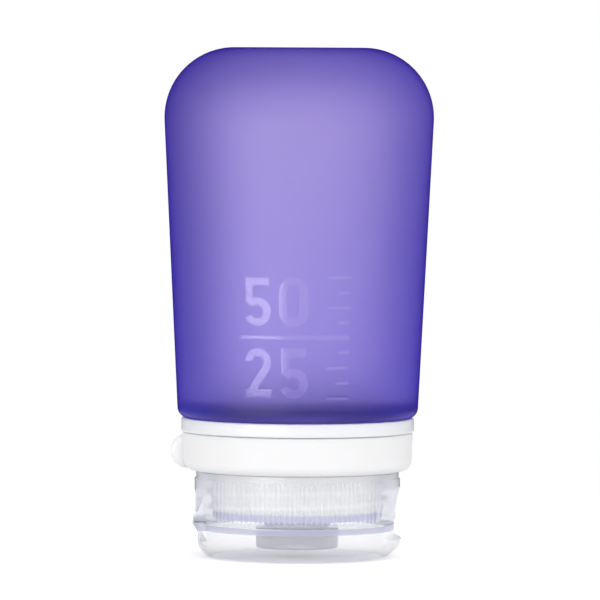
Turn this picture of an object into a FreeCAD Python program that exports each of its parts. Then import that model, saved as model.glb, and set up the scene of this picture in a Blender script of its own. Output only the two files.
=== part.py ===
import FreeCAD, Part
import os
import Sketcher

# A soft travel bottle that stands upside down on its closed flip lid, in millimetres.
# The origin is the middle of the lid's outer face, and +Z runs up to the bottle's base.
# The living hinge is at -X. The thumb recess and the lifting lip are at +X.

# Driving sizes: alias, value, meaning. Angles are in degrees.
SIZES = [
    ("lid_height", 6.0, "lid from its outer face to its rim"),
    ("lid_wall", 1.0, "side wall of the lid"),
    ("lid_floor", 1.0, "end wall of the lid"),
    ("lid_round", 3.0, "outer edge radius of the lid"),
    ("lid_inset", 0.25, "lid wall set back from the cap wall"),
    ("lid_fit", 0.2, "play between the lid and the locating step"),
    ("parting_gap", 0.2, "gap between the lid rim and the cap"),
    ("plug_radius", 2.6, "plug that backs the valve"),
    ("plug_gap", 0.2, "plug to valve membrane"),
    ("lift_reach", 0.8, "lifting lip beyond the lid wall"),
    ("lift_drop", 2.6, "lid rim down to the lifting lip's edge"),
    ("lift_rise", 0.65, "slope of the lip up to the recess wall"),
    ("lift_foot", 0.5, "lower end of the lifting lip above the outer face"),
    ("lift_angle", 60, "width of the lifting lip"),
    ("recess_depth", 0.65, "thumb recess into the cap wall"),
    ("recess_height", 6.0, "thumb recess above the cap's lower edge"),
    ("recess_slope", 3.6, "sloped upper part of the recess"),
    ("smooth_angle", 38, "half angle without ribs at the recess and at the hinge"),
    ("cap_height", 8.8, "cap from its lower edge to its rim"),
    ("cap_wall", 1.55, "cap wall without its ribs"),
    ("cap_edge", 0.3, "lower edge radius of the cap"),
    ("deck_thickness", 1.2, "end wall of the cap"),
    ("rim_height", 1.0, "smooth rim above the ribs"),
    ("rim_wall", 0.7, "thin wall of that rim"),
    ("rib_depth", 0.25, "grip rib height"),
    ("rib_base", 0.66, "grip rib width at its root"),
    ("rib_crest", 0.26, "grip rib width at its crest"),
    ("rib_pitch", 3.0, "angle from rib to rib"),
    ("rib_foot", 0.5, "cap's lower edge to the ribs"),
    ("step_height", 0.8, "locating step below the cap"),
    ("step_width", 1.0, "wall of the locating step"),
    ("nozzle_radius", 7.25, "outside of the nozzle"),
    ("nozzle_wall", 1.65, "nozzle wall around the valve"),
    ("nozzle_gap", 0.6, "nozzle end to the lid's end wall"),
    ("nozzle_lip", 0.9, "inward lip that seats the valve"),
    ("orifice_radius", 3.8, "opening in that lip"),
    ("valve_flange", 1.2, "thick edge of the valve"),
    ("valve_set", 0.5, "membrane above the valve seat"),
    ("membrane", 0.6, "valve membrane"),
    ("valve_fit", 0.1, "play of the valve in the nozzle"),
    ("valve_hub", 0.4, "membrane edge inside the orifice edge"),
    ("slit_length", 4.4, "each arm pair of the crossed slit"),
    ("slit_width", 0.12, "slit opening"),
    ("retainer_wall", 1.9, "wall of the valve's snap ring"),
    ("retainer_play", 0.1, "play around the snap ring"),
    ("snap_depth", 0.25, "snap bead height"),
    ("snap_width", 0.5, "snap bead crest"),
    ("snap_drop", 1.6, "deck's inner face down to the snap bead"),
    ("mouth_radius", 11.7, "open mouth of the silicone neck"),
    ("neck_wall", 1.45, "silicone neck wall"),
    ("silicone_fit", 0.05, "silicone neck in the collar"),
    ("seal_thickness", 1.4, "silicone lip that seals the mouth"),
    ("seal_inset", 0.2, "silicone lip inside the neck's outer face"),
    ("seal_gap", 0.1, "silicone lip to the cap's deck"),
    ("tube_wall", 1.85, "neck wall of the collar"),
    ("thread_pitch", 2.5, "screw thread pitch"),
    ("thread_depth", 0.9, "thread height on the neck"),
    ("thread_root", 1.2, "thread width at its root"),
    ("thread_crest", 0.6, "thread width at its crest"),
    ("thread_play", 0.25, "play between the threaded walls"),
    ("thread_lead", 0.75, "neck end to the middle of the thread's start"),
    ("thread_stop", 0.35, "plain neck above the thread"),
    ("bead_reach", 0.4, "bead that keeps the ring on the collar"),
    ("bead_height", 0.7, "that bead along the neck"),
    ("bead_gap", 0.2, "bead to the ring"),
    ("flange_reach", 4.0, "collar flange beyond the ring's journal"),
    ("flange_height", 2.3, "visible flange of the collar"),
    ("flange_round", 0.35, "edge radius of the flange"),
    ("ring_height", 6.5, "tab ring along the axis"),
    ("ring_inset", 0.2, "ring inside the flange edge"),
    ("ring_draft", 0.25, "ring narrower at its lower edge"),
    ("ring_play", 0.15, "ring around its journal"),
    ("ring_round", 1.8, "lower edge radius of the ring"),
    ("ring_top_round", 0.4, "upper edge radius of the ring"),
    ("ring_gap", 0.35, "line between the ring and the flange"),
    ("cap_gap", 0.25, "cap rim to the ring"),
    ("tab_margin", 0.25, "tab inside the ring's height, each side"),
    ("tab_reach", 2.05, "tab beyond the ring"),
    ("tab_thickness", 3.0, "tab across"),
    ("tab_round", 0.9, "edge radius of the tab"),
    ("foot_overhang", 0.6, "silicone body beyond the flange"),
    ("body_flare", 3.2, "body wider at its base than at its foot"),
    ("body_height", 64.8, "silicone body from the flange to its base"),
    ("body_wall", 2.2, "side wall of the body"),
    ("base_wall", 3.0, "base of the body"),
    ("base_round", 12.25, "edge radius of the base"),
    ("foot_round", 1.9, "edge radius at the foot of the body"),
    ("hinge_width", 14.4, "living hinge across"),
    ("hinge_reach", 0.45, "pivot line beyond the cap wall"),
    ("hinge_rise", 0.4, "hinge parting above the lid rim"),
    ("hinge_play", 0.2, "gap between the two halves of the hinge"),
    ("cap_wedge", 4.2, "sloped hinge half on the cap"),
    ("lid_wedge", 4.3, "sloped hinge half on the lid"),
    ("film_thickness", 0.25, "hinge film at the pivot line"),
    ("film_leg", 0.8, "hinge film along each half"),
    ("film_width", 6.0, "middle web across"),
    ("strap_gap", 0.8, "slot between the middle web and a strap"),
    ("film_fit", 0.03, "hinge film to the lid half"),
]

# Heights and radii worked out from the driving sizes.
PLACES = [
    ("cap_bottom", "sizes.lid_height + sizes.parting_gap"),
    ("deck_top", "cap_bottom + sizes.deck_thickness"),
    ("seal_bottom", "deck_top + sizes.seal_gap"),
    ("neck_end", "seal_bottom + sizes.seal_thickness"),
    ("cap_top", "cap_bottom + sizes.cap_height"),
    ("rib_bottom", "cap_bottom + sizes.rib_foot"),
    ("rib_top", "cap_top - sizes.rim_height"),
    ("ring_bottom", "cap_top + sizes.cap_gap"),
    ("ring_top", "ring_bottom + sizes.ring_height"),
    ("flange_bottom", "ring_top + sizes.ring_gap"),
    ("flange_top", "flange_bottom + sizes.flange_height"),
    ("body_top", "flange_top + sizes.body_height"),
    ("bead_top", "ring_bottom - sizes.bead_gap"),
    ("bead_bottom", "bead_top - sizes.bead_height"),
    ("relief_bottom", "bead_bottom - sizes.thread_play"),
    ("neck_skin", "sizes.mouth_radius + sizes.neck_wall"),
    ("collar_bore", "neck_skin + sizes.silicone_fit"),
    ("neck_radius", "collar_bore + sizes.tube_wall"),
    ("thread_radius", "neck_radius + sizes.thread_depth"),
    ("cap_bore", "thread_radius + sizes.thread_play"),
    ("cap_thread_radius", "neck_radius + sizes.thread_play"),
    ("cap_radius", "cap_bore + sizes.cap_wall"),
    ("rib_radius", "cap_radius + sizes.rib_depth"),
    ("recess_radius", "cap_radius - sizes.recess_depth"),
    ("recess_top", "cap_bottom + sizes.recess_height"),
    ("relief_radius", "cap_radius - sizes.rim_wall"),
    ("bead_radius", "relief_radius - sizes.thread_play"),
    ("journal_radius", "bead_radius - sizes.bead_reach"),
    ("seal_radius", "neck_radius - sizes.seal_inset"),
    ("flange_radius", "journal_radius + sizes.flange_reach"),
    ("ring_bore", "journal_radius + sizes.ring_play"),
    ("ring_radius", "flange_radius - sizes.ring_inset"),
    ("ring_foot_radius", "ring_radius - sizes.ring_draft"),
    ("tab_radius", "sizes.ring_height / 2 - sizes.tab_margin"),
    ("tab_middle", "ring_radius + sizes.tab_reach - tab_radius"),
    ("tab_level", "ring_bottom + sizes.ring_height / 2"),
    ("foot_radius", "flange_radius + sizes.foot_overhang"),
    ("base_radius", "foot_radius + sizes.body_flare"),
    ("lid_radius", "cap_radius - sizes.lid_inset"),
    ("lid_bore", "lid_radius - sizes.lid_wall"),
    ("lift_top", "sizes.lid_height - sizes.lift_drop"),
    ("lift_radius", "lid_radius + sizes.lift_reach"),
    ("step_radius", "lid_bore - sizes.lid_fit"),
    ("step_bottom", "cap_bottom - sizes.step_height"),
    ("nozzle_end", "sizes.lid_floor + sizes.nozzle_gap"),
    ("nozzle_bore", "sizes.nozzle_radius - sizes.nozzle_wall"),
    ("valve_seat", "nozzle_end + sizes.nozzle_lip"),
    ("valve_top", "valve_seat + sizes.valve_flange"),
    ("valve_radius", "nozzle_bore - sizes.valve_fit"),
    ("hub_radius", "sizes.orifice_radius - sizes.valve_hub"),
    ("membrane_bottom", "valve_seat + sizes.valve_set"),
    ("membrane_top", "membrane_bottom + sizes.membrane"),
    ("plug_top", "membrane_bottom - sizes.plug_gap"),
    ("retainer_radius", "nozzle_bore - sizes.retainer_play"),
    ("retainer_bore", "retainer_radius - sizes.retainer_wall"),
    ("retainer_bottom", "valve_top + sizes.retainer_play"),
    ("retainer_top", "deck_top - sizes.retainer_play"),
    ("snap_level", "deck_top - sizes.snap_drop"),
    ("thread_start", "neck_end + sizes.thread_lead"),
    ("thread_half", "sizes.thread_root / 2"),
    ("crest_half", "sizes.thread_crest / 2"),
    ("thread_room", "bead_bottom - thread_start - thread_half - sizes.thread_stop"),
    ("cap_thread_start", "thread_start + sizes.thread_pitch / 2"),
    ("cap_thread_room", "relief_bottom - cap_thread_start - thread_half"),
    ("hinge_x", "cap_radius + sizes.hinge_reach"),
    ("lid_wedge_top", "sizes.lid_height + sizes.hinge_rise"),
    ("cap_wedge_bottom", "lid_wedge_top + sizes.hinge_play"),
    ("hinge_z", "(lid_wedge_top + cap_wedge_bottom) / 2"),
    ("cap_wedge_top", "cap_wedge_bottom + sizes.cap_wedge"),
    ("lid_wedge_bottom", "lid_wedge_top - sizes.lid_wedge"),
    ("cap_wedge_foot", "sqrt(cap_radius ^ 2 - (sizes.hinge_width / 2) ^ 2)"),
    ("lid_wedge_foot", "sqrt(lid_radius ^ 2 - (sizes.hinge_width / 2) ^ 2)"),
    ("film_cap_x", "hinge_x - (hinge_x - cap_wedge_foot) * sizes.film_leg / sizes.cap_wedge"),
    ("film_lid_x", "hinge_x - (hinge_x - lid_wedge_foot) * sizes.film_leg / sizes.lid_wedge"),
    ("strap_inner", "sizes.film_width / 2 + sizes.strap_gap"),
]

# How far a cut or a ridge runs past the face that it meets.
OVERRUN = 0.3


def fill_sheets(doc):
    """Puts the driving sizes and the places worked out from them into two sheets."""
    sizes = doc.addObject("Spreadsheet::Sheet", "sizes")
    for row, (alias, value, meaning) in enumerate(SIZES, 1):
        sizes.set(f"A{row}", meaning)
        sizes.set(f"B{row}", str(value))
        sizes.setAlias(f"B{row}", alias)
    places = doc.addObject("Spreadsheet::Sheet", "places")
    for row, (alias, formula) in enumerate(PLACES, 1):
        places.set(f"A{row}", alias)
        places.set(f"B{row}", "=" + formula)
        places.setAlias(f"B{row}", alias)
    doc.recompute()


def new_body(doc, name):
    """An empty body whose label names the piece."""
    body = doc.addObject("PartDesign::Body", name)
    body.Label = name
    body.Placement = FreeCAD.Placement()
    return body


def new_sketch(body, name, role="XZ_Plane"):
    """A sketch on one of the body's own origin planes."""
    plane = next(f for f in body.Origin.OriginFeatures if f.Role == role)
    sketch = body.newObject("Sketcher::SketchObject", name)
    sketch.AttachmentSupport = (plane, [""])
    sketch.MapMode = "FlatFace"
    return sketch


def place_point(sketch, curve, end, across, up, label):
    """Ties a sketch point to two expressions, each measured from the origin. A leading minus flips the side."""
    for kind, axis, text in (("DistanceX", -2, across), ("DistanceY", -1, up)):
        if text == "0":
            sketch.addConstraint(Sketcher.Constraint("PointOnObject", curve, end, axis))
            continue
        flipped = text.startswith("-")
        size = text[1:] if flipped else text
        ends = (curve, end, -1, 1) if flipped else (-1, 1, curve, end)
        value = float(sketch.evalExpression(size))
        index = sketch.addConstraint(Sketcher.Constraint(kind, *ends, value))
        name = f"{kind}_{label}"
        sketch.renameConstraint(index, name)
        sketch.setExpression(f"Constraints.{name}", size)


def number(sketch, text):
    """The value of a signed expression."""
    if text.startswith("-"):
        return -float(sketch.evalExpression(text[1:]))
    return float(sketch.evalExpression(text))


def outline(sketch, corners):
    """A closed outline of straight lines whose corners are pairs of expressions."""
    spots = [FreeCAD.Vector(number(sketch, a), number(sketch, b), 0) for a, b in corners]
    first = sketch.GeometryCount
    count = len(corners)
    for i in range(count):
        sketch.addGeometry(Part.LineSegment(spots[i], spots[(i + 1) % count]))
    for i in range(count):
        following = first + (i + 1) % count
        sketch.addConstraint(Sketcher.Constraint("Coincident", first + i, 2, following, 1))
    for i, (across, up) in enumerate(corners):
        place_point(sketch, first + i, 1, across, up, f"{first + i}")
    return sketch


def turned(body, kind, name, corners, angle=None):
    """A full turn of an outline about Z, or a sector centred on the outline's own plane."""
    sketch = outline(new_sketch(body, name + "_outline"), corners)
    feature = body.newObject("PartDesign::" + kind, name)
    feature.Profile = sketch
    feature.ReferenceAxis = (sketch, ["V_Axis"])
    if angle is None:
        feature.Angle = 360
    else:
        feature.Midplane = True
        feature.setExpression("Angle", angle)
    body.Document.recompute()
    return feature


def padded(body, name, sketch, width):
    """A pad to both sides of its sketch."""
    pad = body.newObject("PartDesign::Pad", name)
    pad.Profile = sketch
    pad.SideType = "Symmetric"
    pad.setExpression("Length", width)
    body.Document.recompute()
    return pad


def rounded(body, name, radius, *circles):
    """Rounds the circular edges that lie at the given pairs of radius and height expressions."""
    base = body.Tip
    wanted = [(number(base, r), number(base, z)) for r, z in circles]
    chosen = []
    for index, edge in enumerate(base.Shape.Edges, 1):
        if not isinstance(edge.Curve, Part.Circle):
            continue
        at = (edge.Curve.Radius, edge.Curve.Center.z)
        on_axis = edge.Curve.Center.x ** 2 + edge.Curve.Center.y ** 2 < 1e-6
        if on_axis and any(abs(at[0] - r) + abs(at[1] - z) < 1e-3 for r, z in wanted):
            chosen.append(f"Edge{index}")
    return rounded_edges(body, name, radius, chosen)


def rounded_edges(body, name, radius, chosen):
    """Rounds the named edges of the body's last feature."""
    base = body.Tip
    fillet = body.newObject("PartDesign::Fillet", name)
    fillet.Base = (base, chosen)
    fillet.setExpression("Radius", radius)
    body.Document.recompute()
    return fillet


def ridge(body, name, root, crest, start, room):
    """A helical ridge with sloped flanks, from the root radius to the crest radius."""
    sketch = new_sketch(body, name + "_outline")
    corners = [
        (root, f"{start} - places.thread_half"),
        (crest, f"{start} - places.crest_half"),
        (crest, f"{start} + places.crest_half"),
        (root, f"{start} + places.thread_half"),
    ]
    outline(sketch, corners)
    helix = body.newObject("PartDesign::AdditiveHelix", name)
    helix.Profile = sketch
    helix.ReferenceAxis = (sketch, ["V_Axis"])
    helix.Mode = "pitch-height-angle"
    helix.setExpression("Pitch", "sizes.thread_pitch")
    helix.setExpression("Height", room)
    body.Document.recompute()
    return helix


def make_bottle_body(doc):
    """Silicone body, its neck inside the collar and the lip that folds out under the neck's end."""
    body = new_body(doc, "bottle_body")
    inner_foot = "places.foot_radius - sizes.body_wall"
    inner_base = "places.base_radius - sizes.body_wall"
    cavity_foot = "places.flange_top + sizes.body_wall"
    cavity_top = "places.body_top - sizes.base_wall"
    corners = [
        ("0", "places.body_top"),
        ("places.base_radius", "places.body_top"),
        ("places.foot_radius", "places.flange_top"),
        ("places.neck_skin", "places.flange_top"),
        ("places.neck_skin", "places.neck_end"),
        ("places.seal_radius", "places.neck_end"),
        ("places.seal_radius", "places.seal_bottom"),
        ("sizes.mouth_radius", "places.seal_bottom"),
        ("sizes.mouth_radius", cavity_foot),
        (inner_foot, cavity_foot),
        (inner_base, cavity_top),
        ("0", cavity_top),
    ]
    turned(body, "Revolution", "shell", corners)
    rounded(body, "base_edge", "sizes.base_round", ("places.base_radius", "places.body_top"))
    rounded(body, "base_inside", "sizes.base_round - sizes.body_wall", (inner_base, cavity_top))
    rounded(body, "foot_edge", "sizes.foot_round", ("places.foot_radius", "places.flange_top"))
    rounded(body, "foot_inside", "sizes.foot_round", (inner_foot, cavity_foot))
    return body


def make_neck_collar(doc):
    """Rigid collar: flange under the silicone, journal for the ring, bead, and threaded neck."""
    body = new_body(doc, "neck_collar")
    corners = [
        ("places.collar_bore", "places.neck_end"),
        ("places.neck_radius", "places.neck_end"),
        ("places.neck_radius", "places.bead_bottom"),
        ("places.journal_radius", "places.bead_bottom"),
        ("places.bead_radius", "places.bead_bottom + sizes.bead_height / 2"),
        ("places.bead_radius", "places.bead_top"),
        ("places.journal_radius", "places.bead_top"),
        ("places.journal_radius", "places.flange_bottom"),
        ("places.flange_radius", "places.flange_bottom"),
        ("places.flange_radius", "places.flange_top"),
        ("places.collar_bore", "places.flange_top"),
    ]
    turned(body, "Revolution", "sleeve", corners)
    rounded(
        body,
        "flange_edges",
        "sizes.flange_round",
        ("places.flange_radius", "places.flange_bottom"),
        ("places.flange_radius", "places.flange_top"),
    )
    root = f"places.neck_radius - {OVERRUN}"
    ridge(body, "thread", root, "places.thread_radius", "places.thread_start", "places.thread_room")
    return body


def make_tab_ring(doc):
    """Soft ring around the collar with a round tab at -X."""
    body = new_body(doc, "tab_ring")
    corners = [
        ("0", "places.ring_bottom"),
        ("places.ring_foot_radius", "places.ring_bottom"),
        ("places.ring_radius", "places.ring_top"),
        ("0", "places.ring_top"),
    ]
    turned(body, "Revolution", "ring", corners)
    rounded(body, "lower_edge", "sizes.ring_round", ("places.ring_foot_radius", "places.ring_bottom"))
    rounded(body, "upper_edge", "sizes.ring_top_round", ("places.ring_radius", "places.ring_top"))
    sketch = new_sketch(body, "tab_outline")
    middle = FreeCAD.Vector(number(sketch, "-places.tab_middle"), number(sketch, "places.tab_level"), 0)
    radius = number(sketch, "places.tab_radius")
    circle = sketch.addGeometry(Part.Circle(middle, FreeCAD.Vector(0, 0, 1), radius))
    place_point(sketch, circle, 3, "-places.tab_middle", "places.tab_level", "middle")
    index = sketch.addConstraint(Sketcher.Constraint("Radius", circle, radius))
    sketch.renameConstraint(index, "tab_radius")
    sketch.setExpression("Constraints.tab_radius", "places.tab_radius")
    padded(body, "tab", sketch, "sizes.tab_thickness")
    rim = []
    for index, edge in enumerate(body.Tip.Shape.Edges, 1):
        if isinstance(edge.Curve, Part.Circle) and abs(edge.Curve.Axis.y) > 0.99:
            rim.append(f"Edge{index}")
    rounded_edges(body, "tab_edges", "sizes.tab_round", rim)
    bore = [
        ("0", f"places.ring_bottom - {OVERRUN}"),
        ("places.ring_bore", f"places.ring_bottom - {OVERRUN}"),
        ("places.ring_bore", f"places.ring_top + {OVERRUN}"),
        ("0", f"places.ring_top + {OVERRUN}"),
    ]
    turned(body, "Groove", "bore", bore)
    return body


def add_ribs(body):
    """Two fans of upright grip ribs, front and back, between the recess and the hinge."""
    sketch = new_sketch(body, "rib_outline", "XY_Plane")
    root = f"places.cap_radius - {OVERRUN}"
    for side in ("", "-"):
        corners = [
            (side + root if side == "" else f"-({root})", "sizes.rib_base / 2"),
            (side + "places.rib_radius", "sizes.rib_crest / 2"),
            (side + "places.rib_radius", "-sizes.rib_crest / 2"),
            (side + root if side == "" else f"-({root})", "-sizes.rib_base / 2"),
        ]
        outline(sketch, corners)
    sketch.AttachmentOffset = FreeCAD.Placement(
        FreeCAD.Vector(0, 0, 0), FreeCAD.Rotation(FreeCAD.Vector(0, 0, 1), 1)
    )
    sketch.setExpression("AttachmentOffset.Base.z", "places.rib_bottom")
    sketch.setExpression("AttachmentOffset.Rotation.Angle", "sizes.smooth_angle")
    rib = body.newObject("PartDesign::Pad", "rib")
    rib.Profile = sketch
    rib.setExpression("Length", "places.rib_top - places.rib_bottom")
    body.Document.recompute()
    fan = body.newObject("PartDesign::PolarPattern", "ribs")
    fan.Originals = [rib]
    fan.Axis = (sketch, ["N_Axis"])
    steps = "floor((180 - 2 * sizes.smooth_angle) / sizes.rib_pitch)"
    fan.setExpression("Angle", f"{steps} * sizes.rib_pitch")
    fan.setExpression("Occurrences", f"{steps} + 1")
    body.Tip = fan
    body.Document.recompute()


def make_screw_cap(doc):
    """Clear cap: ribbed skirt, deck, nozzle, locating step, thumb recess, hinge half and inside thread."""
    body = new_body(doc, "screw_cap")
    step_bore = "places.step_radius - sizes.step_width"
    outside = [
        ("0", "places.nozzle_end"),
        ("sizes.nozzle_radius", "places.nozzle_end"),
        ("sizes.nozzle_radius", "places.cap_bottom"),
        (step_bore, "places.cap_bottom"),
        (step_bore, "places.step_bottom"),
        ("places.step_radius", "places.step_bottom"),
        ("places.step_radius", "places.cap_bottom"),
        ("places.cap_radius", "places.cap_bottom"),
        ("places.cap_radius", "places.cap_top"),
        ("0", "places.cap_top"),
    ]
    turned(body, "Revolution", "outside", outside)
    rounded(body, "lower_edge", "sizes.cap_edge", ("places.cap_radius", "places.cap_bottom"))
    past = f"places.rib_radius + {OVERRUN}"
    below = f"places.cap_bottom - {OVERRUN}"
    recess = [
        ("places.recess_radius", below),
        (past, below),
        (past, "places.recess_top"),
        ("places.cap_radius", "places.recess_top"),
        ("places.recess_radius", "places.recess_top - sizes.recess_slope"),
    ]
    turned(body, "Groove", "thumb_recess", recess, "2 * sizes.smooth_angle - sizes.rib_pitch")
    notch = [
        ("-places.step_radius", below),
        (f"-({past})", below),
        (f"-({past})", "places.cap_wedge_bottom"),
        ("-places.step_radius", "places.cap_wedge_bottom"),
    ]
    notch_angle = "2 * asin((sizes.hinge_width / 2 + sizes.hinge_play) / places.step_radius)"
    turned(body, "Groove", "hinge_notch", notch, notch_angle)
    wedge = [
        ("-places.cap_wedge_foot", "places.cap_wedge_top"),
        ("-places.hinge_x", "places.cap_wedge_bottom"),
        (f"-(places.cap_wedge_foot - {OVERRUN})", "places.cap_wedge_bottom"),
    ]
    padded(body, "hinge_half", outline(new_sketch(body, "wedge_outline"), wedge), "sizes.hinge_width")
    snap_outer = "places.nozzle_bore + sizes.snap_depth"
    inside = [
        ("0", f"places.nozzle_end - {OVERRUN}"),
        ("sizes.orifice_radius", f"places.nozzle_end - {OVERRUN}"),
        ("sizes.orifice_radius", "places.valve_seat"),
        ("places.nozzle_bore", "places.valve_seat"),
        ("places.nozzle_bore", "places.snap_level - sizes.snap_width"),
        (snap_outer, "places.snap_level - sizes.snap_width / 2"),
        (snap_outer, "places.snap_level + sizes.snap_width / 2"),
        ("places.nozzle_bore", "places.snap_level + sizes.snap_width"),
        ("places.nozzle_bore", "places.deck_top"),
        ("places.cap_bore", "places.deck_top"),
        ("places.cap_bore", "places.relief_bottom"),
        ("places.relief_radius", "places.relief_bottom"),
        ("places.relief_radius", f"places.cap_top + {OVERRUN}"),
        ("0", f"places.cap_top + {OVERRUN}"),
    ]
    turned(body, "Groove", "inside", inside)
    add_ribs(body)
    root = f"places.cap_bore + {OVERRUN}"
    start = "places.cap_thread_start"
    ridge(body, "thread", root, "places.cap_thread_radius", start, "places.cap_thread_room")
    return body


def make_slit_valve(doc):
    """Soft valve: a thick edge in the nozzle and a thin membrane with a crossed slit."""
    body = new_body(doc, "slit_valve")
    corners = [
        ("0", "places.membrane_bottom"),
        ("places.hub_radius", "places.membrane_bottom"),
        ("places.hub_radius", "places.valve_seat"),
        ("places.valve_radius", "places.valve_seat"),
        ("places.valve_radius", "places.valve_top"),
        ("places.hub_radius", "places.valve_top"),
        ("places.hub_radius", "places.membrane_top"),
        ("0", "places.membrane_top"),
    ]
    turned(body, "Revolution", "disc", corners)
    arm, half = "sizes.slit_length / 2", "sizes.slit_width / 2"
    cross = [
        (arm, half),
        (half, half),
        (half, arm),
        ("-" + half, arm),
        ("-" + half, half),
        ("-" + arm, half),
        ("-" + arm, "-" + half),
        ("-" + half, "-" + half),
        ("-" + half, "-" + arm),
        (half, "-" + arm),
        (half, "-" + half),
        (arm, "-" + half),
    ]
    slit = body.newObject("PartDesign::Pocket", "slit")
    slit.Profile = outline(new_sketch(body, "slit_outline", "XY_Plane"), cross)
    slit.SideType = "Symmetric"
    slit.Type = "ThroughAll"
    doc.recompute()
    return body


def make_valve_retainer(doc):
    """Snap ring that holds the valve down on its seat."""
    body = new_body(doc, "valve_retainer")
    bead = "places.retainer_radius + sizes.snap_depth"
    corners = [
        ("places.retainer_bore", "places.retainer_bottom"),
        ("places.retainer_radius", "places.retainer_bottom"),
        ("places.retainer_radius", "places.snap_level - sizes.snap_width + sizes.retainer_play"),
        (bead, "places.snap_level - sizes.snap_width / 2 + sizes.retainer_play"),
        (bead, "places.snap_level + sizes.snap_width / 2 - sizes.retainer_play"),
        ("places.retainer_radius", "places.snap_level + sizes.snap_width - sizes.retainer_play"),
        ("places.retainer_radius", "places.retainer_top"),
        ("places.retainer_bore", "places.retainer_top"),
    ]
    turned(body, "Revolution", "ring", corners)
    return body


def make_flip_lid(doc):
    """Clear lid: shallow cup with a plug, the lifting lip at +X and its half of the hinge at -X."""
    body = new_body(doc, "flip_lid")
    outside = [
        ("0", "0"),
        ("places.lid_radius", "0"),
        ("places.lid_radius", "sizes.lid_height"),
        ("0", "sizes.lid_height"),
    ]
    turned(body, "Revolution", "outside", outside)
    rounded(body, "outer_edge", "sizes.lid_round", ("places.lid_radius", "0"))
    lip = [
        ("places.lid_bore", "sizes.lift_foot"),
        ("places.lid_radius - sizes.lift_reach", "sizes.lift_foot"),
        ("places.lid_radius + sizes.lift_reach / 2", "(sizes.lift_foot + places.lift_top) / 2"),
        ("places.lift_radius", "places.lift_top"),
        ("places.lid_bore", "places.lift_top"),
    ]
    turned(body, "Revolution", "lifting_lip", lip, "sizes.lift_angle")
    past = f"places.lift_radius + {OVERRUN}"
    above = f"sizes.lid_height + {OVERRUN}"
    notch = [
        ("places.recess_radius", "places.lift_top + sizes.lift_rise"),
        ("places.lift_radius", "places.lift_top"),
        (past, "places.lift_top"),
        (past, above),
        ("places.recess_radius", above),
    ]
    turned(body, "Groove", "thumb_recess", notch, "sizes.lift_angle")
    wedge = [
        ("-places.lid_wedge_foot", "places.lid_wedge_bottom"),
        ("-places.hinge_x", "places.lid_wedge_top"),
        (f"-(places.lid_wedge_foot - {OVERRUN})", "places.lid_wedge_top"),
    ]
    padded(body, "hinge_half", outline(new_sketch(body, "wedge_outline"), wedge), "sizes.hinge_width")
    inside = [
        ("0", "sizes.lid_floor"),
        ("places.lid_bore", "sizes.lid_floor"),
        ("places.lid_bore", f"places.lid_wedge_top + {OVERRUN}"),
        ("0", f"places.lid_wedge_top + {OVERRUN}"),
    ]
    turned(body, "Groove", "inside", inside)
    rounded(body, "inner_edge", "sizes.lid_round - sizes.lid_wall", ("places.lid_bore", "sizes.lid_floor"))
    plug = [
        ("0", "sizes.lid_floor / 2"),
        ("sizes.plug_radius", "sizes.lid_floor / 2"),
        ("sizes.plug_radius", "places.plug_top"),
        ("0", "places.plug_top"),
    ]
    turned(body, "Revolution", "plug", plug)
    return body


def web_outline(body):
    """Section of the hinge film: a thin crease over the outer edges of both hinge halves."""
    corners = [
        ("-places.film_cap_x", "places.cap_wedge_bottom + sizes.film_leg"),
        ("-(places.hinge_x + sizes.film_thickness)", "places.hinge_z"),
        ("-(places.film_lid_x + sizes.film_fit)", "places.lid_wedge_top - sizes.film_leg"),
        ("-(places.hinge_x + sizes.film_fit)", "places.lid_wedge_top"),
        ("-places.hinge_x", "places.cap_wedge_bottom"),
    ]
    return outline(new_sketch(body, "web_outline"), corners)


def make_hinge_film(doc):
    """Middle web of the living hinge."""
    body = new_body(doc, "hinge_film")
    padded(body, "web", web_outline(body), "sizes.film_width")
    return body


def make_hinge_straps(doc):
    """The two side webs of the living hinge, one wide web with its middle cut out."""
    body = new_body(doc, "hinge_straps")
    padded(body, "webs", web_outline(body), "sizes.hinge_width")
    slot = [
        (f"-(places.cap_wedge_foot - {OVERRUN})", "places.lid_wedge_bottom"),
        (f"-(places.cap_wedge_foot - {OVERRUN})", "places.cap_wedge_top"),
        (f"-(places.hinge_x + sizes.film_thickness + {OVERRUN})", "places.cap_wedge_top"),
        (f"-(places.hinge_x + sizes.film_thickness + {OVERRUN})", "places.lid_wedge_bottom"),
    ]
    middle = body.newObject("PartDesign::Pocket", "middle")
    middle.Profile = outline(new_sketch(body, "slot_outline"), slot)
    middle.SideType = "Symmetric"
    middle.setExpression("Length", "2 * places.strap_inner")
    doc.recompute()
    return body


def check(doc, bodies):
    """Stops if a feature failed or a piece has no valid solid."""
    for item in doc.Objects:
        if "Invalid" in item.State or "Error" in item.State:
            raise RuntimeError(f"{item.Label} failed: {item.State}")
    for body in bodies:
        shape = body.Shape
        if shape.isNull() or not shape.isValid() or not shape.Solids:
            raise RuntimeError(f"{body.Label} has no valid solid")
        print(f"{body.Label}: {len(shape.Solids)} solid, {shape.Volume:.1f} mm3")


def main():
    doc = FreeCAD.newDocument("travel_bottle")
    fill_sheets(doc)
    makers = (
        make_bottle_body,
        make_neck_collar,
        make_tab_ring,
        make_screw_cap,
        make_slit_valve,
        make_valve_retainer,
        make_flip_lid,
        make_hinge_film,
        make_hinge_straps,
    )
    bodies = [make(doc) for make in makers]
    doc.recompute()
    check(doc, bodies)
    os.makedirs("parts", exist_ok=True)
    for body in bodies:
        body.Shape.exportStep(f"parts/{body.Label}.step")


main()
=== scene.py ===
import math

import bpy
import numpy as np
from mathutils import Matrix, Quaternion, Vector


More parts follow.
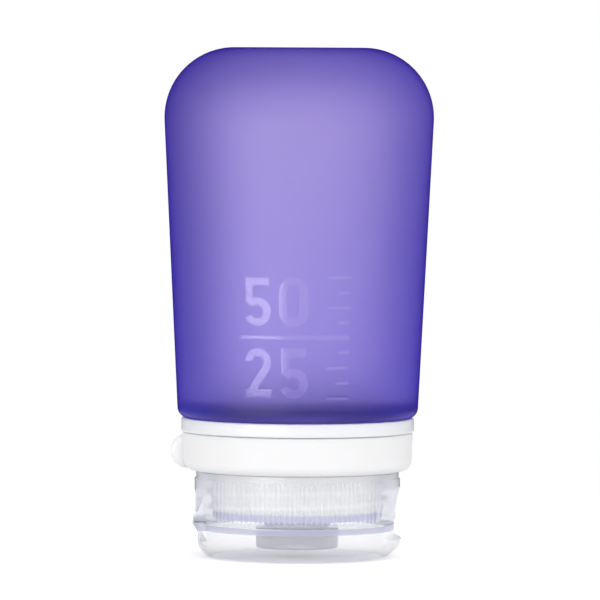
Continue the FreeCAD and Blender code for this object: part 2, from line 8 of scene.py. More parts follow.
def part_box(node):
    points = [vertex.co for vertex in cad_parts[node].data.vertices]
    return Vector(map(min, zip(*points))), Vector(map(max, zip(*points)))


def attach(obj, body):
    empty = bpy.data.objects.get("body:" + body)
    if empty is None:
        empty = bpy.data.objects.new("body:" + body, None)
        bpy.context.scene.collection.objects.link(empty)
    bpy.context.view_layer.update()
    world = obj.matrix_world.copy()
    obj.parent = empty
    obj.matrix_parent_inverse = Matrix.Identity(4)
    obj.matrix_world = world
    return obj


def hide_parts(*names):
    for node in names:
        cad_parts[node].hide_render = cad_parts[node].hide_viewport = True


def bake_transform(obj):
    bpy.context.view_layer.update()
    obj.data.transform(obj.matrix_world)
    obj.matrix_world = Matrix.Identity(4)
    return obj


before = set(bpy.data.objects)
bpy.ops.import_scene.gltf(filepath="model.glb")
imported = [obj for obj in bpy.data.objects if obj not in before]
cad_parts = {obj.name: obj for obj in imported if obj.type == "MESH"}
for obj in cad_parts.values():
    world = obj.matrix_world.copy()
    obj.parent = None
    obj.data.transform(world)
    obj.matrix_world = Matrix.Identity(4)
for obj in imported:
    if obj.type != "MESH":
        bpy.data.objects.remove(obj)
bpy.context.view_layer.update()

# A travel squeeze bottle of frosted silicone that stands upside down on its clear flip lid.
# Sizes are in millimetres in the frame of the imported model, and become metres when a mesh is made.
MM = 0.001


def box_mm(node):
    """Lowest and highest corner of a CAD node at rest, in millimetres."""
    low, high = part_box(node)
    return np.array(low) / MM, np.array(high) / MM


BODY_LOW, BODY_HIGH = box_mm("bottle_body")
COLLAR_LOW, COLLAR_HIGH = box_mm("neck_collar")
RING_LOW, RING_HIGH = box_mm("tab_ring")
CAP_LOW = box_mm("screw_cap")[0]
LID_HIGH = box_mm("flip_lid")[1]
WEB_LOW, WEB_HIGH = box_mm("hinge_film")
STRAP_LOW, STRAP_HIGH = box_mm("hinge_straps")

# Small gap that keeps faces apart where two pieces touch.
SKIN_GAP = 0.03

# How far off a wall's radius a point may be and count as on the wall, and a width that is next to none.
ON_WALL = 0.01
TINY = 1e-6

# How much lower than in the CAD the lip and the neck end, because they show that low through the cap.
LIP_DROP = 0.55
NECK_DROP = 0.75

# Heights that the pieces share.
LIP_BOTTOM = BODY_LOW[2] - LIP_DROP
LID_RIM = 6.1
CAP_BOTTOM = 6.2
DECK_TOP = LIP_BOTTOM - 2 * SKIN_GAP
NECK_END = COLLAR_LOW[2] - NECK_DROP
CAP_TOP = RING_LOW[2] - 2 * SKIN_GAP
FLANGE_BOTTOM = 22.02
FLANGE_TOP = COLLAR_HIGH[2]
BASE_TOP = BODY_HIGH[2]

# Radii that the pieces share.
MOUTH = 11.7
NECK_SKIN = 13.15
NECK = 15.05
JOURNAL = 16.4
FLANGE = COLLAR_HIGH[0]
CAP_RADIUS = 17.75
STEP_RADIUS = 16.3

# The screw thread that the neck and the cap share.
THREAD_PITCH = 2.5
THREAD_DEPTH = 0.9
THREAD_ROOT = 1.2
THREAD_CREST = 0.6
THREAD_FADE = 0.04
THREAD_LEAD = 0.7
THREAD_START = NECK_END + THREAD_LEAD
NECK_TURNS = 1.5
CAP_TURNS = 1.04

# The living hinge, whose webs fold close to the hinge line.
HINGE_HALF_WIDTH = STRAP_HIGH[1]
HINGE_X = 18.2
STRAP_GAP = 0.8
WEB_STEP = 0.08
WEB_STATIONS = 12

# Longest run between two points of an outline where nothing else is asked.
COARSE = 4.0

# Largest distance between an arc and the chords that stand for it.
CHORD_ERROR = 0.004

# Edges that turn by more degrees than this are shaded sharp.
SHARP_ANGLE = 38


def smooth_step(x):
    """0 below 0, 1 above 1, and a smooth S between them."""
    x = np.clip(x, 0, 1)
    return x * x * (3 - 2 * x)


def smooth_max(a, b, width):
    """The larger of two arrays, with a fillet of about the given width where they are close."""
    share = np.clip(0.5 + 0.5 * (b - a) / width, 0, 1)
    return a + (b - a) * share + width * share * (1 - share)


def turned_from(angle, middle):
    """Angle measured from a middle direction, between minus and plus a half turn, in radians."""
    return (angle - middle + math.pi) % (2 * math.pi) - math.pi


def section(corners, closed=True):
    """Outline in a plane of (across, height) through corners (across, height, round, step).

    A round replaces its corner by a tangent arc, and step is the longest spacing on the straight
    run that follows the corner. An open outline keeps its first and last corners as they are.
    """
    spots = np.array([corner[:2] for corner in corners], float)
    count = len(corners)
    arcs = []
    for i, (_, _, radius, _) in enumerate(corners):
        if radius == 0:
            arcs.append(spots[i][None])
            continue
        into = spots[i] - spots[i - 1]
        out = spots[(i + 1) % count] - spots[i]
        into = into / np.linalg.norm(into)
        out = out / np.linalg.norm(out)
        turn = math.atan2(into[0] * out[1] - into[1] * out[0], into @ out)
        side = np.array([-into[1], into[0]]) * math.copysign(1, turn)
        start = spots[i] - into * radius * math.tan(abs(turn) / 2)
        largest = 2 * math.acos(1 - CHORD_ERROR / radius)
        swept = np.linspace(0, abs(turn), max(3, math.ceil(abs(turn) / largest) + 1))[:, None]
        arcs.append(start + radius * (np.sin(swept) * into + (1 - np.cos(swept)) * side))
    points = []
    for i, (_, _, _, step) in enumerate(corners):
        points.append(arcs[i])
        if not closed and i == count - 1:
            break
        start, end = arcs[i][-1], arcs[(i + 1) % count][0]
        parts = max(1, math.ceil(np.linalg.norm(end - start) / step))
        points.append(start + (end - start) * (np.arange(1, parts) / parts)[:, None])
    return np.concatenate(points)


def column_angles(step, *stretches):
    """Angles round the axis in radians: every step degrees, and finer in stretches (from, to, step)."""
    angles = np.arange(0, 360, step)
    for start, end, fine in stretches:
        inside = (angles - start) % 360 <= end - start
        angles = np.concatenate([angles[~inside], np.arange(start, end + fine / 2, fine) % 360])
    return np.radians(np.unique(np.round(angles, 4)))


def both_sides(middle, low, high, fine):
    """Two stretches for column_angles, from low to high degrees to either side of middle."""
    return (middle - high, middle - low, fine), (middle + low, middle + high, fine)


def grid_quads(rows, columns, rows_wrap, columns_wrap):
    """Corner numbers of the quads of a grid, which may close on itself in either direction."""
    row = np.arange(rows if rows_wrap else rows - 1)[:, None]
    column = np.arange(columns if columns_wrap else columns - 1)[None]
    next_row = (row + 1) % rows
    next_column = (column + 1) % columns
    corners = np.broadcast_arrays(
        row * columns + column,
        row * columns + next_column,
        next_row * columns + next_column,
        next_row * columns + column,
    )
    return np.stack(corners, -1).reshape(-1, 4)


def held_volume(points, faces):
    """Six times the volume between the origin and faces that all have the same number of corners."""
    first = points[faces[:, 0]]
    total = 0
    for i in range(1, faces.shape[1] - 1):
        total += np.einsum("ij,ij->", first, np.cross(points[faces[:, i]], points[faces[:, i + 1]]))
    return total


def add_piece(name, points, *face_sets):
    """A mesh object at the origin from points in millimetres and arrays of faces, turned outwards."""
    if sum(held_volume(points, faces) for faces in face_sets) < 0:
        face_sets = [faces[:, ::-1] for faces in face_sets]
    mesh = bpy.data.meshes.new(name)
    mesh.from_pydata(points * MM, [], [face for faces in face_sets for face in faces.tolist()])
    mesh.validate()
    mesh.shade_smooth()
    mesh.set_sharp_from_angle(angle=math.radians(SHARP_ANGLE))
    piece = bpy.data.objects.new(name, mesh)
    bpy.context.scene.collection.objects.link(piece)
    return piece


def points_mm(piece):
    """The x, y and z of a piece's points in millimetres."""
    places = np.empty(3 * len(piece.data.vertices))
    piece.data.vertices.foreach_get("co", places)
    return places.reshape(-1, 3).T / MM


def paint(piece, name, values):
    """Stores one number for each point of a piece, which its material reads by name."""
    attribute = piece.data.attributes.new(name, "FLOAT", "POINT")
    attribute.data.foreach_set("value", np.asarray(values, np.float32))


def turned_piece(name, outline, angles, shape, closed=True):
    """Outline carried round the axis: point (r, z) at angle a lies at (r cos a, r sin a, z).

    shape(r, z, a) moves the points first. An open outline starts and ends on the axis,
    and a fan of triangles closes each of its two poles.
    """
    across, height, angle = np.broadcast_arrays(outline[:, :1], outline[:, 1:], angles[None])
    across, height = shape(across.copy(), height.copy(), angle)
    grid = np.stack([across * np.cos(angle), across * np.sin(angle), height], -1)
    rows, columns = across.shape
    if closed:
        return add_piece(name, grid.reshape(-1, 3), grid_quads(rows, columns, True, True))
    inner = grid[1:-1].reshape(-1, 3)
    points = np.concatenate([inner, grid[0, :1], grid[-1, :1]])
    first, last = len(inner), len(inner) + 1
    column = np.arange(columns)
    following = (column + 1) % columns
    base = (rows - 3) * columns
    start_fan = np.stack([np.full(columns, first), following, column], -1)
    end_fan = np.stack([np.full(columns, last), base + column, base + following], -1)
    quads = grid_quads(rows - 2, columns, False, True)
    return add_piece(name, points, quads, start_fan, end_fan)


def thread_height(angle, height, start, turns):
    """Height of a helical ridge at each point: a trapezium across, climbing one pitch each turn.

    Its middle is at start + pitch * (angle / full turn + k) for turn number k, and it fades at its ends.
    """
    ridge = np.zeros_like(height)
    for turn in range(math.ceil(turns)):
        along = angle / (2 * math.pi) + turn
        off = np.abs(height - start - THREAD_PITCH * along)
        flank = (THREAD_ROOT / 2 - off) / ((THREAD_ROOT - THREAD_CREST) / 2)
        fade = np.minimum(along, turns - along) / THREAD_FADE
        ridge = np.maximum(ridge, smooth_step(flank) * smooth_step(fade))
    return THREAD_DEPTH * ridge


# Raised scale on the front of the body: two numbers, a rule and a ladder of ticks, on the unrolled skin.
MARK_RADIUS = 22.2
MARK_HEIGHT = 0.04
MARK_EDGE = 0.3
POLISH_EDGE = 0.16
DIGIT_WIDTH = 5.1
DIGIT_HEIGHT = 8.5
STROKE = 1.45
UPPER_LINE = 41.3
LOWER_LINE = 29.05
FIRST_DIGIT = -9.8
DIGIT_PITCH = 6.5
RULE_LEVEL = 39.36
RULE_ENDS = (-10.6, 9.3)
RULE_WIDTH = 0.7
TICK_WIDTH = 0.5
TICK_PITCH = 2.58
LONG_TICK = 4.2
SHORT_TICK = 2.4
MARK_SPAN = (-11.2, 9.9)
MARK_STEP = 0.14


def bar(u, v, start, end, width):
    """Signed distance to a straight stroke with square ends."""
    along_u, along_v = end[0] - start[0], end[1] - start[1]
    length = math.hypot(along_u, along_v)
    along = ((u - start[0]) * along_u + (v - start[1]) * along_v) / length
    across = ((v - start[1]) * along_u - (u - start[0]) * along_v) / length
    return np.maximum(np.abs(along - length / 2) - length / 2, np.abs(across) - width / 2)


def arc(u, v, centre, radius, middle, half):
    """Signed distance to a stroke along a circle that reaches half degrees to either side of middle."""
    away = np.hypot(u - centre[0], v - centre[1])
    angle = turned_from(np.arctan2(v - centre[1], u - centre[0]), math.radians(middle))
    past = np.clip(np.abs(angle) - math.radians(half), -math.pi / 2, math.pi / 2)
    return np.maximum(np.abs(away - radius) - STROKE / 2, away * np.sin(past))


def digit_zero(u, v):
    """Signed distance to a 0: a ring round an upright line."""
    radius = (DIGIT_WIDTH - STROKE) / 2
    straight = (DIGIT_HEIGHT - DIGIT_WIDTH) / 2
    above = np.maximum(np.abs(v - DIGIT_HEIGHT / 2) - straight, 0)
    return np.abs(np.hypot(u - DIGIT_WIDTH / 2, above) - radius) - STROKE / 2


def digit_two(u, v):
    """Signed distance to a 2: an arc, a slanted stroke and a foot."""
    radius = (DIGIT_WIDTH - STROKE) / 2
    centre = (DIGIT_WIDTH / 2, DIGIT_HEIGHT - DIGIT_WIDTH / 2)
    low = math.radians(-32)
    neck = (centre[0] + radius * math.cos(low), centre[1] + radius * math.sin(low))
    top = arc(u, v, centre, radius, 70, 104)
    slant = bar(u, v, neck, (0.62 * STROKE, 0.4 * STROKE), STROKE)
    foot = bar(u, v, (0, STROKE / 2), (DIGIT_WIDTH, STROKE / 2), STROKE)
    return np.minimum(np.minimum(top, np.maximum(slant, -v)), foot)


def digit_five(u, v):
    """Signed distance to a 5: a top bar, an upright and a bowl."""
    radius = (DIGIT_WIDTH - STROKE) / 2
    top = DIGIT_HEIGHT - STROKE / 2
    bowl = arc(u, v, (DIGIT_WIDTH / 2, DIGIT_WIDTH / 2), radius, -6, 148)
    upright = bar(u, v, (0.74 * STROKE, 0.48 * DIGIT_HEIGHT), (0.74 * STROKE, DIGIT_HEIGHT), STROKE)
    bar_top = bar(u, v, (0.24 * STROKE, top), (0.94 * DIGIT_WIDTH, top), STROKE)
    return np.minimum(np.minimum(bowl, upright), bar_top)


def scale_marks(u, v):
    """Signed distance from each point of the unrolled skin to the nearest mark."""
    distance = bar(u, v, (RULE_ENDS[0], RULE_LEVEL), (RULE_ENDS[1], RULE_LEVEL), RULE_WIDTH)
    rows = ((UPPER_LINE, (digit_five, digit_zero)), (LOWER_LINE, (digit_two, digit_five)))
    for line, digits in rows:
        for place, digit in enumerate(digits):
            drawn = digit(u - FIRST_DIGIT - place * DIGIT_PITCH, v - line)
            distance = np.minimum(distance, drawn)
    for step in (-4, -3, -2, -1, 1, 2, 3, 4):
        level = RULE_LEVEL + step * TICK_PITCH
        length = LONG_TICK if step % 2 == 0 else SHORT_TICK
        tick = bar(u, v, (RULE_ENDS[1] - length, level), (RULE_ENDS[1], level), TICK_WIDTH)
        distance = np.minimum(distance, tick)
    return distance


# The silicone body: its outer skin, the lip under the neck, and the hollow as pairs of radius and height.
FOOT_RADIUS = 21.0
BASE_RADIUS = 24.2
FOOT_ROUND = 1.9
BASE_ROUND = 12.25
LIP_RADIUS = 14.85
HOLLOW_FOOT = (17.5, 26.6)
HOLLOW_BASE = (22.0, 87.0)
HOLLOW_ROUND = 10.6
BODY_STEP = 2


def make_body():
    """Silicone body: its outer skin, its soft neck, the lip under the neck and the hollow inside."""
    foot = FLANGE_TOP - SKIN_GAP
    lip_top = NECK_END - SKIN_GAP
    mark_low, mark_high = LOWER_LINE - 1, UPPER_LINE + DIGIT_HEIGHT + 1
    slope = (BASE_RADIUS - FOOT_RADIUS) / (BASE_TOP - FLANGE_TOP)
    side = [(FOOT_RADIUS + slope * (z - FLANGE_TOP), z) for z in (mark_high, mark_low)]
    corners = [
        (0, BASE_TOP, 0, BODY_STEP),
        (BASE_RADIUS, BASE_TOP, BASE_ROUND, BODY_STEP),
        (*side[0], 0, MARK_STEP),
        (*side[1], 0, 1),
        (FOOT_RADIUS, foot, FOOT_ROUND, COARSE),
        (NECK_SKIN, foot, 0.4, COARSE),
        (NECK_SKIN, lip_top, 0.2, COARSE),
        (LIP_RADIUS, lip_top, 0.2, COARSE),
        (LIP_RADIUS, LIP_BOTTOM, 0.25, COARSE),
        (MOUTH, LIP_BOTTOM, 0.25, COARSE),
        (MOUTH, HOLLOW_FOOT[1], 0.8, COARSE),
        (*HOLLOW_FOOT, FOOT_ROUND, COARSE),
        (*HOLLOW_BASE, HOLLOW_ROUND, BODY_STEP),
        (0, HOLLOW_BASE[1], 0, BODY_STEP),
    ]
    outline = section(corners, closed=False)
    start, end = (math.degrees(u / MARK_RADIUS) - 90 for u in MARK_SPAN)
    angles = column_angles(2.5, (start, end, math.degrees(MARK_STEP / MARK_RADIUS)))

    def to_marks(across, height, angle):
        u = turned_from(angle, -math.pi / 2) * MARK_RADIUS
        on_skin = (across > FOOT_RADIUS) & (height > mark_low) & (height < mark_high)
        return np.where(on_skin, scale_marks(u, height), MARK_EDGE)

    def raise_marks(across, height, angle):
        raised = smooth_step(0.5 - to_marks(across, height, angle) / MARK_EDGE)
        return across + MARK_HEIGHT * raised, height

    body = turned_piece("silicone_body", outline, angles, raise_marks, closed=False)
    rows = np.broadcast_arrays(outline[1:-1, :1], outline[1:-1, 1:], angles[None])
    polish = smooth_step(0.5 - to_marks(*rows) / POLISH_EDGE).ravel()
    skin_rows = np.arange(len(outline))[1:-1, None] <= np.argmin(outline[:, 1])
    frost = np.broadcast_to(skin_rows, rows[0].shape).ravel() * (1 - polish)
    paint(body, "polish", np.append(polish, [0, 0]))
    paint(body, "frost", np.append(frost, [1, 0]))
    return body


# The collar: its bore, its flange, and the bead under the journal that keeps the ring on.
COLLAR_BORE = NECK_SKIN + 0.05
FLANGE_ROUND = 0.35
BEAD_RADIUS = 16.8
BEAD_FOOT, BEAD_LOW, BEAD_HIGH = 14.35, 14.7, 15.05
NECK_STEP = 0.09


def make_collar():
    """White collar: flange, journal, bead and threaded neck, whose thread starts opposite the cap's."""
    corners = [
        (COLLAR_BORE, NECK_END, 0.15, COARSE),
        (NECK, NECK_END, 0.2, NECK_STEP),
        (NECK, BEAD_FOOT, 0.1, COARSE),
        (JOURNAL, BEAD_FOOT, 0, COARSE),
        (BEAD_RADIUS, BEAD_LOW, 0.1, COARSE),
        (BEAD_RADIUS, BEAD_HIGH, 0.1, COARSE),
        (JOURNAL, BEAD_HIGH, 0, COARSE),
        (JOURNAL, FLANGE_BOTTOM, 0.1, COARSE),
        (FLANGE, FLANGE_BOTTOM, FLANGE_ROUND, COARSE),
        (FLANGE, FLANGE_TOP, FLANGE_ROUND, COARSE),
        (COLLAR_BORE, FLANGE_TOP, 0.15, COARSE),
    ]

    def cut_thread(across, height, angle):
        on_neck = np.abs(across - NECK) < ON_WALL
        opposite = (angle + math.pi) % (2 * math.pi)
        ridge = thread_height(opposite, height, THREAD_START, NECK_TURNS)
        return across + np.where(on_neck, ridge, 0), height

    return turned_piece("white_collar", section(corners), column_angles(2), cut_thread)


# The tab of the soft ring: a disc with a rounded edge, seen from the front as a round lug at -X.
TAB_RADIUS = 3.0
TAB_MIDDLE = -RING_LOW[0] - TAB_RADIUS
TAB_LEVEL = (RING_LOW[2] + RING_HIGH[2]) / 2
TAB_HALF = 1.5
TAB_ROUND = 0.9
TAB_FILLET = 0.35
TAB_STRETCH = (174.5, 185.5, 0.16)

# The soft ring, which rises a little above its CAD solid. Points beyond its middle are on the outer wall.
RING_BORE = 16.55
RING_MIDDLE = 17.5
RING_FOOT = 19.95
RING_RISE = 0.19
RING_ROUND = 1.8
RING_STEP = 0.15


def make_ring():
    """Soft ring whose outer wall swells into the tab.

    At the height z and the distance y from the middle plane the disc reaches
    middle + sqrt(reach(y)^2 - (z - level)^2), where reach falls along the rounded edge.
    """
    low, high = RING_LOW[2], RING_HIGH[2] + RING_RISE
    corners = [
        (RING_BORE, low, 0.3, COARSE),
        (RING_FOOT, low, RING_ROUND, RING_STEP),
        (RING_HIGH[0], high, 0.4, COARSE),
        (RING_BORE, high, 0.3, COARSE),
    ]

    def swell(across, height, angle):
        off = turned_from(angle, math.pi)
        aside = np.abs(np.sin(off)) * (TAB_MIDDLE + TAB_HALF)
        edge = np.clip(aside - TAB_HALF + TAB_ROUND, 0, TAB_ROUND)
        reach = TAB_RADIUS - TAB_ROUND + np.sqrt(TAB_ROUND ** 2 - edge ** 2)
        inside = reach ** 2 - (height - TAB_LEVEL) ** 2
        there = (np.cos(off) > 0) & (aside < TAB_HALF) & (inside > 0) & (across > RING_MIDDLE)
        tab = np.where(there, TAB_MIDDLE + np.sqrt(np.maximum(inside, 0)), 0)
        return smooth_max(across, tab, TAB_FILLET * there + TINY), height

    return turned_piece("ring_with_tab", section(corners), column_angles(2, TAB_STRETCH), swell)


# Grip ribs and thumb recess of the cap.
RIB_HEIGHT = 0.25
RIB_PITCH = 3.0
RIB_BASE = 0.66
RIB_CREST = 0.26
RIB_FROM, RIB_TO = 6.7, 14.0
RIB_END = 0.25
SMOOTH_ANGLE = 38
RIB_COUNT = 35
RECESS_RADIUS = 17.1
RECESS_KNEE = 8.6
RECESS_TOP = 12.2
RECESS_HALF = 36.5

# Notch over the hinge webs, where the rows of the cap's lower edge lie higher and closer.
NOTCH_HALF = 27
NOTCH_TOP = 6.8
NOTCH_SQUEEZE = 3
WEB_CLEARANCE = 0.3

# Hinge halves: heights of their slanted planes, radii of their feet, and degrees where their sides lie.
CAP_WEDGE = (6.6, 10.8)
CAP_WEDGE_FOOT = 16.22
CAP_WEDGE_SIDES = (21, 24.5)
LID_WEDGE = (2.1, 6.4)
LID_WEDGE_FOOT = 15.95
LID_WEDGE_SIDES = (20, 27)

# Inside of the cap: threaded bore, relief for the bead, locating step, and nozzle with its snap groove.
CAP_BORE = 16.2
RELIEF = 17.05
RELIEF_BOTTOM = 14.1
STEP_BORE = 15.3
STEP_BOTTOM = 5.4
NOZZLE_RADIUS = 7.25
NOZZLE_BORE = 5.6
NOZZLE_MOUTH = 3.8
NOZZLE_FLOOR = 2.5
GROOVE_RADIUS = 5.85
GROOVE_HEIGHTS = (6.3, 6.05, 5.55, 5.3)

# Spacing of the cap's rows at the ends of the ribs, along them and along the thread.
RIB_MARGIN = 0.1
RIB_END_STEP = 0.08
RIB_STEP = 0.32
THREAD_STEP = 0.16

# How strongly lilac-grey shade is painted at places of the cap, and how hazy its nozzle is.
NOZZLE_SHADE = 0.45
NOZZLE_HAZE = 1.4
STEP_SHADE = 0.3
SIDE_SHADE = 0.45
CAP_WEDGE_SHADE = 0.8


def wedge_reach(angle, height, levels, radii):
    """Radius of a hinge half: a slanted plane across -X, cut off at both sides of the hinge."""
    off = turned_from(angle, math.pi)
    plane = np.interp(height, levels, radii, left=0, right=0)
    front = plane / np.maximum(np.cos(off), 0.1)
    sides = HINGE_HALF_WIDTH / np.maximum(np.abs(np.sin(off)), TINY)
    return np.where(np.cos(off) > 0, np.minimum(front, sides), 0)


def cap_wall(angle, height):
    """Outer radius of the cap: wall, thumb recess at +X, hinge half at -X and two fans of ribs.

    Beside the fans the wall is smooth and as high as the ribs.
    """
    from_lip = np.abs(np.degrees(turned_from(angle, 0)))
    recess = np.interp(height, (RECESS_KNEE, RECESS_TOP), (RECESS_RADIUS, CAP_RADIUS))
    wall = np.where(from_lip < RECESS_HALF, recess, CAP_RADIUS)
    first_rib = np.degrees(angle) % 180 - SMOOTH_ANGLE
    number = np.round(first_rib / RIB_PITCH)
    off = np.radians(np.abs(first_rib - number * RIB_PITCH)) * CAP_RADIUS
    rib = smooth_step((RIB_BASE / 2 - off) / ((RIB_BASE - RIB_CREST) / 2))
    rib = np.where((number >= 0) & (number < RIB_COUNT), rib, 1)
    by_hinge = np.abs(np.degrees(turned_from(angle, math.pi))) < NOTCH_HALF + 1
    low_end = np.where(by_hinge, WEB_HIGH[2] + WEB_CLEARANCE, RIB_FROM)
    ends = smooth_step((height - low_end) / RIB_END) * smooth_step((RIB_TO - height) / RIB_END)
    wedge = wedge_reach(angle, height, CAP_WEDGE, (HINGE_X, CAP_WEDGE_FOOT))
    return np.maximum(wall + RIB_HEIGHT * rib * ends, wedge)


def cap_angles():
    """Columns of the cap: eight on each rib, none in the valleys, and fine ones at other edges."""
    fan = np.arange(RIB_COUNT)[:, None] * RIB_PITCH + SMOOTH_ANGLE
    half_base = math.degrees(RIB_BASE / 2 / CAP_RADIUS)
    half_crest = math.degrees(RIB_CREST / 2 / CAP_RADIUS)
    flank = half_crest + np.array([1, 0.65, 0.35]) * (half_base - half_crest)
    offsets = np.concatenate([-flank, [-half_crest, half_crest], flank[::-1]])
    ribs = (fan + offsets).ravel()
    plain = np.degrees(column_angles(
        1.5,
        *both_sides(0, RECESS_HALF - 0.5, RECESS_HALF + 0.5, 0.25),
        *both_sides(180, NOTCH_HALF - 0.2, NOTCH_HALF + 0.2, 0.1),
        *both_sides(180, *CAP_WEDGE_SIDES, 0.25),
    ))
    fan_span = (RIB_COUNT - 1) * RIB_PITCH
    beside = (plain - SMOOTH_ANGLE + RIB_PITCH / 2) % 180 > fan_span + RIB_PITCH
    angles = np.concatenate([plain[beside], ribs, ribs + 180])
    return np.radians(np.unique(np.round(angles % 360, 3)))


def make_cap():
    """Clear cap: ribbed skirt, inside thread, deck, locating step and nozzle, all one outline.

    The rows of the outer wall are spread between the locating step and the radius that cap_wall gives.
    """
    thread_low = THREAD_START - THREAD_ROOT / 2
    thread_high = THREAD_START + CAP_TURNS * THREAD_PITCH + THREAD_ROOT / 2
    corners = [
        (NOZZLE_MOUTH, CAP_LOW[2], 0.2, COARSE),
        (NOZZLE_RADIUS, CAP_LOW[2], 0.5, 1.5),
        (NOZZLE_RADIUS, CAP_BOTTOM, 0.4, COARSE),
        (STEP_BORE, CAP_BOTTOM, 0.2, COARSE),
        (STEP_BORE, STEP_BOTTOM, 0.2, COARSE),
        (STEP_RADIUS, STEP_BOTTOM, 0.25, COARSE),
        (STEP_RADIUS, CAP_BOTTOM, 0, COARSE),
        (CAP_RADIUS, CAP_BOTTOM, 0.3, RIB_END_STEP),
        (CAP_RADIUS, RIB_FROM + RIB_END + RIB_MARGIN, 0, RIB_STEP),
        (CAP_RADIUS, RIB_TO - RIB_END - RIB_MARGIN, 0, RIB_END_STEP),
        (CAP_RADIUS, RIB_TO + RIB_MARGIN, 0, COARSE),
        (CAP_RADIUS, CAP_TOP, 0.2, COARSE),
        (RELIEF, CAP_TOP, 0.15, COARSE),
        (RELIEF, RELIEF_BOTTOM, 0, COARSE),
        (CAP_BORE, RELIEF_BOTTOM, 0, COARSE),
        (CAP_BORE, thread_high, 0, THREAD_STEP),
        (CAP_BORE, thread_low, 0, COARSE),
        (CAP_BORE, DECK_TOP, 0.3, COARSE),
        (NOZZLE_BORE, DECK_TOP, 0.2, COARSE),
        (NOZZLE_BORE, GROOVE_HEIGHTS[0], 0, COARSE),
        (GROOVE_RADIUS, GROOVE_HEIGHTS[1], 0, COARSE),
        (GROOVE_RADIUS, GROOVE_HEIGHTS[2], 0, COARSE),
        (NOZZLE_BORE, GROOVE_HEIGHTS[3], 0, COARSE),
        (NOZZLE_BORE, NOZZLE_FLOOR, 0.15, COARSE),
        (NOZZLE_MOUTH, NOZZLE_FLOOR, 0, COARSE),
    ]
    outline = section(corners)

    def shape(across, height, angle):
        by_relief = (across < RELIEF + 0.2) & (height > RELIEF_BOTTOM - 1)
        outer = (across > STEP_RADIUS + TINY) & ~by_relief
        notch = np.abs(np.degrees(turned_from(angle, math.pi))) < NOTCH_HALF
        lifted = CAP_WEDGE[0] + (height - CAP_BOTTOM) / NOTCH_SQUEEZE
        height = np.where(outer & (height < NOTCH_TOP) & notch, lifted, height)
        share = (across - STEP_RADIUS) / (CAP_RADIUS - STEP_RADIUS)
        across = np.where(outer, STEP_RADIUS + share * (cap_wall(angle, height) - STEP_RADIUS), across)
        ridge = thread_height(angle, height, THREAD_START, CAP_TURNS)
        return across - np.where(np.abs(across - CAP_BORE) < ON_WALL, ridge, 0), height

    angles = cap_angles()
    cap = turned_piece("clear_cap", outline, angles, shape)
    step_end = np.argmin(np.hypot(outline[:, 0] - STEP_RADIUS, outline[:, 1] - CAP_BOTTOM))
    rim_end = np.argmin(np.hypot(outline[:, 0] - RELIEF, outline[:, 1] - CAP_TOP))
    row = np.arange(len(outline))
    outer = np.repeat((row > step_end) & (row < rim_end), len(angles))
    x, y, z = points_mm(cap)
    away = np.hypot(x, y)
    # Painted shade: lilac grey at the nozzle, the locating step, the band by the deck and between the
    # ribs there, and the hinge half.
    on_nozzle = (away < NOZZLE_RADIUS + 0.25) * smooth_step((CAP_BOTTOM - 1 - z) / 0.5)
    on_step = (np.abs(away - STEP_RADIUS) < 0.5) & (z < CAP_BOTTOM + ON_WALL)
    between_ribs = np.clip((CAP_RADIUS + RIB_HEIGHT - away) / RIB_HEIGHT, 0, 1)
    by_deck = smooth_step((DECK_TOP + 0.5 - z) / 0.5) * smooth_step((z - CAP_BOTTOM - 0.05) / 0.12)
    low_band = smooth_step((CAP_BOTTOM + 0.75 - z) / 0.3)
    by_deck = by_deck * np.maximum(0.2 + 0.5 * between_ribs, 0.7 * low_band)
    # Painted shade that grows toward the left and right sides along X.
    at_sides = SIDE_SHADE * smooth_step((np.abs(x) - 11) / 5)
    on_wedge = (x < -CAP_WEDGE_FOOT) & (np.abs(y) < HINGE_HALF_WIDTH) & (z < CAP_WEDGE[1])
    on_wall = np.maximum(np.maximum(by_deck, at_sides), CAP_WEDGE_SHADE * on_wedge)
    paint(cap, "painted_shade", NOZZLE_SHADE * on_nozzle + STEP_SHADE * on_step + outer * on_wall)
    paint(cap, "haze", outer * smooth_step((z - CAP_BOTTOM) / 0.3) + NOZZLE_HAZE * on_nozzle)
    return cap


# Lifting lip of the lid: heights and radii of its outer profile inside the lip's angle.
LIP_HALF = 30
LIP_FADE = 3
LIP_HEIGHTS = (0.5, 1.95, 3.4, 4.05, 6.0)
LIP_RADII = (16.2, 17.9, LID_HIGH[0], RECESS_RADIUS, RECESS_RADIUS)

# The cup of the lid and the plug inside it.
LID_RADIUS = 17.5
LID_BORE = 16.5
LID_FLOOR = 1.0
LID_ROUND = 3.0
PLUG_RADIUS = 2.6
PLUG_TOP = 2.8

# Rows of the lid up to this height belong to the face on which the bottle stands.
LID_FACE = 0.02

# How strongly lilac-grey shade is painted at places of the lid.
LID_FOOT_SHADE = 0.12
LID_RIM_SHADE = 0.95
LID_WEDGE_SHADE = 0.7


